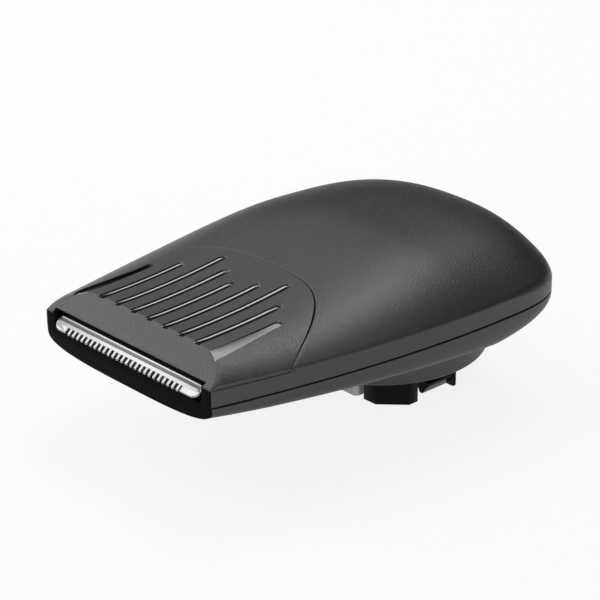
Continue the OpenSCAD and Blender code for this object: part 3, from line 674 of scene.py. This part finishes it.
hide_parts("nose_bezel")


# ---- Comb --------------------------------------------------------------------------------
# The fixed blade is pressed and ground from stainless strip: a sloping face with rounded finger
# teeth, a rounded guard tab at each end, and a flange bent flat that is screwed down inside.

COMB_HALF = comb_box[1].x / MM
COMB_T = 0.6                                # thickness of the sheet
COMB_LEN = 3.36                             # along the slope, from the tips to the bend
COMB_TOP = 1.2                              # top of the sheet at the tips, above the seam
FLANGE_END = comb_box[1].y / MM - LIP
CREASE = 2.25                               # the face ends here and the ground bevel begins
ROOT = 1.6                                  # the gaps between the teeth end here
BEVEL = 0.105                               # fall of the bevel, as a share of its length
TEETH = 25
TOOTH_PITCH = 1.376
FIRST_TOOTH = -16.75
TOOTH_TIP = 0.17
TAB_INNER = {-1: 17.8, 1: 16.9}             # inner edges of the guard tabs, by their side of X
TAB_FALL = 0.100                            # of a tab towards its front, as a share of its length
TAB_EDGE = 0.2
COMB_EDGE = 0.12
COS, SIN = math.cos(SLOPE), math.sin(SLOPE)


def on_comb(x, s, d):
    """Across x, up the slope by s from the tooth tips, and down through the sheet by d."""
    return to_part(x, -REACH + s * COS + d * SIN, COMB_TOP + s * SIN - d * COS)


def ground_steel(name, colour, rough, along=(1.2, 60, 60), streak=0.25, depth=0.004):
    """Ground steel: fine scratches, in the gloss, the colour and the height. They are drawn out
    along the axes where along is small."""
    material = bpy.data.materials.new(name)
    material.use_nodes = True
    tree = material.node_tree
    tree.nodes["Principled BSDF"].inputs["Metallic"].default_value = 1.0
    drawn = tree.nodes.new("ShaderNodeMapping")
    drawn.inputs["Scale"].default_value = along
    place = tree.nodes.new("ShaderNodeTexCoord")
    tree.links.new(place.outputs["Object"], drawn.inputs["Vector"])
    scratch = tree.nodes.new("ShaderNodeTexNoise")
    scratch.inputs["Scale"].default_value = 110
    scratch.inputs["Detail"].default_value = 4.0
    tree.links.new(drawn.outputs["Vector"], scratch.inputs["Vector"])
    textured(tree, colour, streak, rough, depth, scratch.outputs["Fac"], scratch.outputs["Fac"])
    return material


def bar_across(profile, xs, insets):
    """A bar along X with the closed profile (s, d), drawn in by an inset at each station."""
    return lofted([on_comb(np.full(len(profile), x), *(profile - outward(profile) * inset).T)
                   for x, inset in zip(xs, insets)])


def face_profile():
    """The sheet's section: the root of the bevel, the crease, the face, a low lip along the
    rounded back edge, and the underside."""
    t = np.linspace(0, np.pi / 2, 6)
    back = np.stack([COMB_LEN - 0.15 + 0.15 * np.sin(t), 0.07 - 0.15 * np.cos(t)], -1)
    fall = BEVEL * (CREASE - ROOT)
    under = [[COMB_LEN - 0.02, COMB_T], [ROOT, COMB_T], [ROOT - 0.1, COMB_T - 0.1],
             [ROOT - 0.1, fall + 0.12]]
    return np.concatenate([[[ROOT, fall], [CREASE, 0.0], [COMB_LEN - 0.40, 0.0]], back, under])


def tooth(x):
    """A finger: a rounded bar that thins along the bevel and narrows a little to a round tip."""
    s = np.array([1.9, 1.6, 1.2, 0.8, 0.55, 0.4, 0.29, 0.22, 0.18, TOOTH_TIP])
    swell = np.array([1, 1, 1, 1, 0.99, 0.94, 0.82, 0.64, 0.42, 0.12])
    width = (0.43 + 0.02 * s) * swell
    top = BEVEL * (CREASE - s)
    thick = (COMB_T - top) / 2 * swell
    middle = (COMB_T + top) / 2
    a = np.linspace(0, 2 * np.pi, 17)[:-1]
    across, through = (np.sign(f) * np.abs(f) ** 0.55 for f in (np.cos(a), np.sin(a)))
    return lofted([on_comb(x + w * across, np.full(len(a), at), m + t * through)
                   for at, w, t, m in zip(s, width, thick, middle)])


def mirrored_ends(values):
    """The values, and again in the other order."""
    return np.concatenate([values, values[::-1]])


def tab(side):
    """The end tab: a plan with a large round outer corner, lofted through the sheet's thickness.
    Its top falls towards the front, and its underside stays flat for the cutter below it."""
    inner, outer = TAB_INNER[side], COMB_HALF
    plan = np.concatenate([
        [[inner, 2.3], [inner, 0.75]],
        fillet([inner, 0.3], (0, -1), (1, 0), 0.3)[1:],
        fillet([outer, 0.3], (1, 0), (0, 1), 1.9, 12),
        fillet([outer, 2.9], (0, 1), (-1, 0), 0.5),
        [[outer - 0.6, 3.0], [outer - 2.2, 3.0], [outer - 2.2, 2.35]]])
    step = edge_steps(TAB_EDGE, 5)
    rows = []
    for d, inset in zip(np.concatenate([step, (COMB_T - step)[::-1]]),
                        mirrored_ends(rounding(step, TAB_EDGE))):
        at = plan - outward(plan) * inset
        fall = TAB_FALL * (1 - d / COMB_T) * np.maximum(0, CREASE - at[:, 1])
        rows.append(on_comb(side * at[:, 0], at[:, 1], d + 0.015 + fall))
    return lofted(rows)


def polished_and_highlighted_off(material, face, colour, rough):
    """Leaves the finish on the faces that look along the direction face, and gives the rest a
    polish and a brighter colour, which is partly their polish and partly painted highlight on the
    edges, the bevel and the tabs.
    """
    tree = material.node_tree
    where = tree.nodes.new("ShaderNodeNewGeometry")
    along = tree.nodes.new("ShaderNodeVectorMath")
    along.operation = "DOT_PRODUCT"
    along.inputs[1].default_value = face
    tree.links.new(where.outputs["True Normal"], along.inputs[0])
    mask = tree.nodes.new("ShaderNodeMapRange")
    mask.inputs["From Min"].default_value = 0.9955
    mask.inputs["From Max"].default_value = 0.9985
    tree.links.new(along.outputs["Value"], mask.inputs["Value"])
    second_finish(tree, mask.outputs["Result"], 1, colour, rough)
    return material


ends = edge_steps(COMB_EDGE, 4)
bar_x = np.concatenate([-COMB_HALF + 0.4 + ends, COMB_HALF - 0.8 - ends[::-1]])
face = bar_across(face_profile(), bar_x, mirrored_ends(rounding(ends, COMB_EDGE)))
bend_y = COMB_LEN * COS - REACH
bend_z = COMB_TOP + COMB_LEN * SIN
flange = np.array([[bend_y - 0.15, bend_z - 0.12], [bend_y + 0.3, bend_z],
                   [FLANGE_END - 0.1, bend_z], [FLANGE_END, bend_z - 0.1],
                   [FLANGE_END, bend_z - COMB_T], [bend_y + 0.1, bend_z - COMB_T]])
flange_bar = lofted([to_part(np.full(len(flange), x), *flange.T)
                     for x in (-COMB_HALF + 1, COMB_HALF - 1)])
teeth = [tooth(x) for x in FIRST_TOOTH + TOOTH_PITCH * np.arange(TEETH)]
# Off the face, the comb's edges, bevel, teeth and tabs are brighter: partly their polish, partly
# painted highlight.
brushed_steel = polished_and_highlighted_off(
    ground_steel("brushed_blade_steel", (0.105, 0.105, 0.107), 0.42, streak=0.5),
    (0, -SIN, COS), (0.32, 0.32, 0.324), 0.36)
comb = add_piece("comb", *together([face, flange_bar, tab(1), tab(-1)] + teeth), brushed_steel,
                 "blade_steel", sharp=30)
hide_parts("comb_blade")


# ---- Cutter ------------------------------------------------------------------------------
# The moving blade slides under the comb. It is ground from the same strip, its driver is moulded in
# acetal, and two leaf springs press it up against the comb.

CUTTER_HALF = 18.4
CUTTER_TEETH = 19
CUTTER_PITCH = 1.85
CUTTER_TOOTH = 0.5                          # half width of a tooth
CUTTER_TOP = 0.66                           # its top and underside, down from the comb's top
CUTTER_UNDER = 1.02


def repaint(material, *names):
    """Gives every slot of the shown CAD nodes this material."""
    for name in names:
        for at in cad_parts[name].material_slots:
            at.material = material


def cutter_bar(x0, x1, s0, s1):
    """A flat bar under the comb, with its front end ground off below."""
    profile = np.array([[s0, CUTTER_TOP], [s1, CUTTER_TOP], [s1, CUTTER_UNDER],
                        [s0 + 0.25, CUTTER_UNDER]])
    return lofted([on_comb(np.full(len(profile), x), *profile.T) for x in (x0, x1)])


heel = np.array([[1.5, 1.9], [1.5, 2.3], [6.7, 2.3], [6.7, 1.9]])
heel_bar = lofted([to_part(np.full(len(heel), x), *heel.T)
                   for x in (-CUTTER_HALF + 1, CUTTER_HALF - 1)])
cutter_row = CUTTER_PITCH * (np.arange(CUTTER_TEETH) - (CUTTER_TEETH - 1) / 2)
cutter_parts = [cutter_bar(-CUTTER_HALF, CUTTER_HALF, 1.5, 3.1), heel_bar]
cutter_parts += [cutter_bar(x - CUTTER_TOOTH, x + CUTTER_TOOTH, 0.6, 1.6) for x in cutter_row]
cutter_steel = ground_steel("ground_cutter_steel", (0.42, 0.42, 0.425), 0.40)
cutter = add_piece("cutter", *together(cutter_parts), cutter_steel, "blade_steel", body="cutter",
                   sharp=30)
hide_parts("cutter_blade")
repaint(moulded("ivory_acetal", (0.60, 0.57, 0.49), 0.38, grain=0.6, depth=0.006, mottle=0.04),
        "cutter_driver", "rocker_lever", "drive_socket")
repaint(ground_steel("drawn_spring_steel", (0.42, 0.42, 0.43), 0.30, along=(1.5, 40, 40),
                     depth=0.002), "cutter_spring")


# ---- Joint strip -------------------------------------------------------------------------
# A soft black strip lies in the joint between the shells and keeps clippings and water out. The
# ring that seals the spindle is of the same rubber.

repaint(moulded("joint_rubber", (0.006, 0.006, 0.006), 0.7, grain=0.5, depth=0.02, specular=0.2),
        "joint_strip", "seal_ring")


# ---- Coupling collar ---------------------------------------------------------------------
# A ring moulded in black plastic, cut at a slant where it meets the bowl. Its rounded foot stands
# on the handle, and a shoulder inside carries the coupling plate.

COLLAR_WALL = 1.8
COLLAR_EDGE = 0.8                           # radius of the foot's outer edge
COLLAR_INSIDE = COLLAR - COLLAR_WALL
COLLAR_FOOT = collar_box[0].z / MM - SEAM
turn = np.linspace(0, 2 * np.pi, 129)[:-1]


def ring_row(radius, height):
    """A circle round the coupling axis. A height of None stands for the slanted top under the
    bowl."""
    across = radius * np.cos(turn)
    y = AXIS + radius * np.sin(turn)
    if height is None:
        height = bowl_height(share(across, y), np.clip(y, 0.1, LENGTH - 0.1)) + 0.5
    return to_part(across, y, height)


profile = [(COLLAR - rounding(d, COLLAR_EDGE), COLLAR_FOOT + d)
           for d in edge_steps(COLLAR_EDGE, 7)]
profile += [(COLLAR, COLLAR_FOOT + 1.6), (COLLAR, None), (COLLAR_INSIDE, None),
            (COLLAR_INSIDE, COLLAR_FOOT + 0.4), (COLLAR_INSIDE + 0.15, COLLAR_FOOT + 0.1),
            (COLLAR_INSIDE + 0.5, COLLAR_FOOT)]
rows = np.stack([ring_row(r, h) for r, h in profile])
ring_faces = grid_faces(len(profile) + 1, len(turn), wrap=True) % (len(profile) * len(turn))
collar_black = moulded("collar_black_plastic", (0.032, 0.032, 0.033), 0.40, grain=0.28,
                       depth=0.06, specular=0.72)
collar = add_piece("collar", rows, ring_faces, collar_black, "shell_black", sharp=40)
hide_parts("coupling_collar")


# ---- Coupling plate, lugs, hooks and key -------------------------------------------------
# The lug ring and the snap hooks are satin black mouldings with crisp edges, screwed up under the
# plate with the paler key between the front lugs.

def softened(node, width, material, segments=2):
    """A copy of a CAD node whose flat faces are merged and whose edges are broken by width."""
    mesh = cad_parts[node].data.copy()
    made = bmesh.new()
    made.from_mesh(mesh)
    bmesh.ops.remove_doubles(made, verts=made.verts, dist=1e-6)
    bmesh.ops.dissolve_limit(made, angle_limit=math.radians(1.0), verts=made.verts,
                             edges=made.edges)
    crisp = [e for e in made.edges if e.is_manifold and e.calc_face_angle() > math.radians(35)]
    bmesh.ops.bevel(made, geom=crisp, offset=width * MM, segments=segments, profile=0.5,
                    affect="EDGES", clamp_overlap=True)
    bmesh.ops.recalc_face_normals(made, faces=made.faces)
    made.to_mesh(mesh)
    made.free()
    mesh.materials.clear()
    mesh.materials.append(material)
    mesh.shade_smooth()
    mesh.set_sharp_from_angle(angle=math.radians(20))
    piece = bpy.data.objects.new(node + "_finished", mesh)
    bpy.context.scene.collection.objects.link(piece)
    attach(piece, "housing")
    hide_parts(node)


satin_black = moulded("satin_black_plastic", (0.004, 0.004, 0.0045), 0.20, grain=0.5, depth=0.006,
                      specular=0.12)
for node in ("lug_ring", "snap_hook_left", "snap_hook_right"):
    softened(node, 0.14, satin_black)
plate_black = moulded("plate_black_plastic", (0.010, 0.010, 0.011), 0.40, grain=0.4, depth=0.03)
softened("coupling_plate", 0.12, plate_black)
key_grey = moulded("key_grey_plastic", (0.56, 0.55, 0.54), 0.30, grain=0.5, depth=0.01,
                   mottle=0.05)
softened("locating_key", 0.22, key_grey, segments=3)


# ---- Screws ------------------------------------------------------------------------------
# Zinc plated screws hold the plate from below, and inside the housing they hold the blade and its
# carrier.

zinc = ground_steel("zinc_plated_screw", (0.52, 0.52, 0.53), 0.26, along=(8, 8, 8), streak=0.12,
                    depth=0.003)
softened("plate_screws", 0.06, zinc)
repaint(zinc, "blade_screws", "carrier_screws")


# ---- Drive, chassis and bearings ---------------------------------------------------------
# Inside, a grey chassis carries the spindle in two sintered bushes. The crank disc with its brass
# weight swings the lever, which turns on a fixed pin and moves the cutter.

turned_steel = ground_steel("turned_steel", (0.44, 0.44, 0.45), 0.28, along=(20, 20, 3),
                            streak=0.15, depth=0.002)
repaint(turned_steel, "drive_spindle", "crank_disc", "pivot_pin", "pivot_washer", "pivot_clip")
repaint(ground_steel("sintered_brass", (0.48, 0.34, 0.15), 0.42, along=(25, 25, 25), streak=0.2,
                     depth=0.01), "lower_bush", "upper_bush", "rocker_bush", "counterweight")
repaint(moulded("chassis_grey_plastic", (0.11, 0.115, 0.12), 0.45, grain=0.4, depth=0.02),
        "chassis")
repaint(moulded("carrier_black_plastic", (0.014, 0.014, 0.015), 0.42, grain=0.4, depth=0.02),
        "blade_carrier")


# ---- Stage, light and camera -------------------------------------------------------------
# A white table top in a pale room, and seven soft square lamps round the head. Four stand behind it
# and on its -X side, three in front and on its +X side.

TABLE = 6                                   # half its width, in metres
LAMP_DISTANCE = 0.9
LAMP_SIZE = 0.5
HEAD_MIDDLE = 46.69                         # from the lip


def stage_material():
    """A white table that keeps its shadow. To the camera most of it glows white, and less of it
    in reflections. From below it can be looked through, so that the underside shows."""
    material = bpy.data.materials.new("table_white")
    material.use_nodes = True
    tree = material.node_tree
    tree.nodes.clear()
    diffuse = tree.nodes.new("ShaderNodeBsdfDiffuse")
    diffuse.inputs["Color"].default_value = (0.82, 0.82, 0.82, 1)
    glow = tree.nodes.new("ShaderNodeEmission")
    glow.inputs["Color"].default_value = (1, 1, 1, 1)
    path = tree.nodes.new("ShaderNodeLightPath")
    glow_share = calculated(tree, "MAXIMUM",
                            calculated(tree, "MULTIPLY", path.outputs["Is Camera Ray"], 0.86),
                            calculated(tree, "MULTIPLY", path.outputs["Is Glossy Ray"], 0.40))
    side = tree.nodes.new("ShaderNodeNewGeometry")
    clear = tree.nodes.new("ShaderNodeBsdfTransparent")

    def mixed(share, first, second):
        mix = tree.nodes.new("ShaderNodeMixShader")
        for socket, given in zip(mix.inputs, (share, first, second)):
            tree.links.new(given, socket)
        return mix.outputs[0]

    top = mixed(glow_share, diffuse.outputs[0], glow.outputs[0])
    out = tree.nodes.new("ShaderNodeOutputMaterial")
    tree.links.new(mixed(side.outputs["Backfacing"], top, clear.outputs[0]), out.inputs[0])
    return material


floor_z = cad_size[0].z - 0.0002
mesh = bpy.data.meshes.new("table")
mesh.from_pydata([(-TABLE, -TABLE, floor_z), (TABLE, -TABLE, floor_z), (TABLE, TABLE, floor_z),
                  (-TABLE, TABLE, floor_z)], [], [(0, 1, 2, 3)])
mesh.materials.append(stage_material())
table = bpy.data.objects.new("table", mesh)
bpy.context.scene.collection.objects.link(table)

middle_of_head = Vector((0, (LIP + HEAD_MIDDLE) * MM, SEAM * MM))


def looking_in(name, data, azimuth, elevation, distance):
    """A lamp or a camera that looks at the middle of the head from that direction, in degrees.
    An azimuth of 0 is straight ahead of the blade (-Y), and 90 is on the +X side."""
    a, e = math.radians(azimuth), math.radians(elevation)
    way = Vector((math.sin(a) * math.cos(e), -math.cos(a) * math.cos(e), math.sin(e)))
    made = bpy.data.objects.new(name, data)
    made.location = middle_of_head + way * distance
    made.rotation_mode = "QUATERNION"
    made.rotation_quaternion = way.to_track_quat("Z", "Y")
    bpy.context.scene.collection.objects.link(made)
    return made


for name, azimuth, elevation, power in (
        ("lamp_behind", -146, 62, 3.7),
        ("lamp_high_left", -78, 68, 1.2),
        ("lamp_left", -57, 38, 3.1),
        ("lamp_low_left", -100, 15, 1.7),
        ("lamp_front", 20, 12, 3.0),
        ("lamp_right", 84, 10, 2.6),
        ("lamp_rear_right", 125, 64, 1.0)):
    light = bpy.data.lights.new(name, "AREA")
    light.energy = power
    light.shape = "RECTANGLE"
    light.size = light.size_y = LAMP_SIZE
    looking_in(name, light, azimuth, elevation, LAMP_DISTANCE)

world = bpy.data.worlds.new("room")
bpy.context.scene.world = world
world.use_nodes = True
path = world.node_tree.nodes.new("ShaderNodeLightPath")
pale = calculated(world.node_tree, "MAXIMUM", path.outputs["Is Camera Ray"],
                  path.outputs["Is Transmission Ray"])
level = world.node_tree.nodes.new("ShaderNodeMapRange")
level.inputs["To Min"].default_value = 0.03
level.inputs["To Max"].default_value = 1.0
world.node_tree.links.new(pale, level.inputs["Value"])
back = world.node_tree.nodes["Background"]
world.node_tree.links.new(level.outputs["Result"], back.inputs["Strength"])
back.inputs["Color"].default_value = (1, 1, 1, 1)

lens = bpy.data.cameras.new("camera")
lens.sensor_width = 36
lens.lens = 138.06
lens.shift_x = -0.0095
lens.shift_y = -0.0029
lens.clip_start = 0.01
lens.clip_end = 20
bpy.context.scene.camera = looking_in("camera", lens, 47.3, 24.12, 0.4682)
bpy.context.scene.view_settings.view_transform = "Standard"
